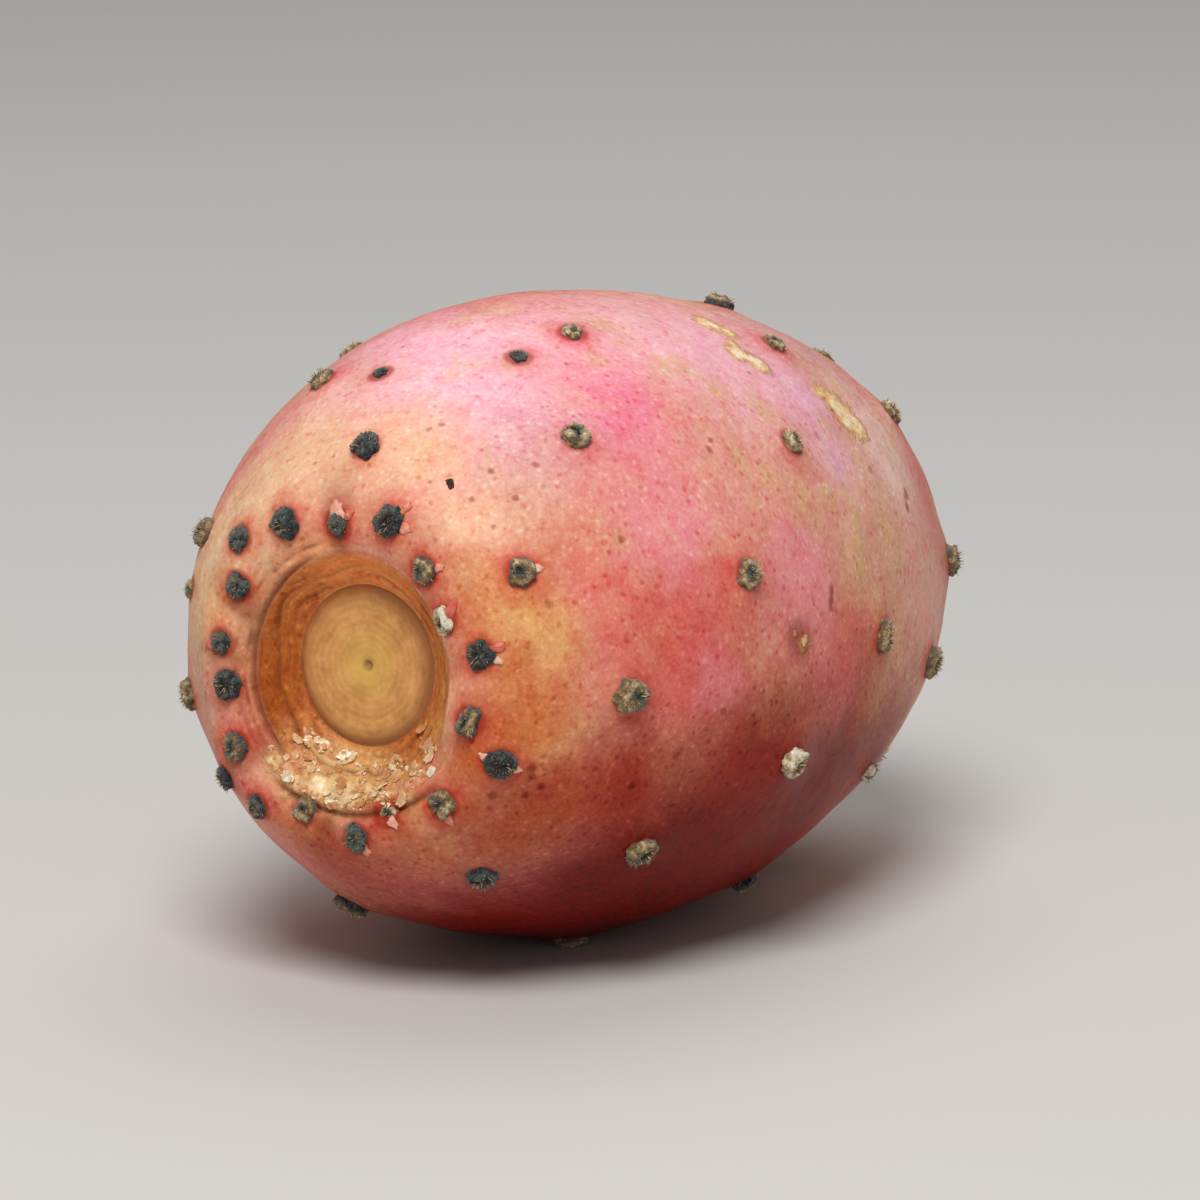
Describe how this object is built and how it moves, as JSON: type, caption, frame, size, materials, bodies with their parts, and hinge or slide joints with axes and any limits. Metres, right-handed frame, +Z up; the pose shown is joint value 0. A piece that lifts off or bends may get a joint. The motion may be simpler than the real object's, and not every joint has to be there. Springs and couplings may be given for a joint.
{
  "type": "prickly pear fruit",
  "caption": "Whole ripe prickly pear lying on its side, egg-shaped, with a sunken flower scar, a corky stem scar and raised felt areoles; shown as food or in a bowl.",
  "frame": {"origin": "middle of the small flat spot that the fruit rests on, straight below its weight", "axes": "+Z up; +X along the fruit towards its stem scar, which lies a little lower than the flower scar at -X; +Y across it"},
  "size_m": [0.086, 0.0571, 0.0558],
  "materials": {
    "skin": "waxy semi-matte fruit skin, pink to red with peach and orange patches"
  },
  "bodies": {
    "root": {"fruit": "skin"}
  },
  "joints": []
}
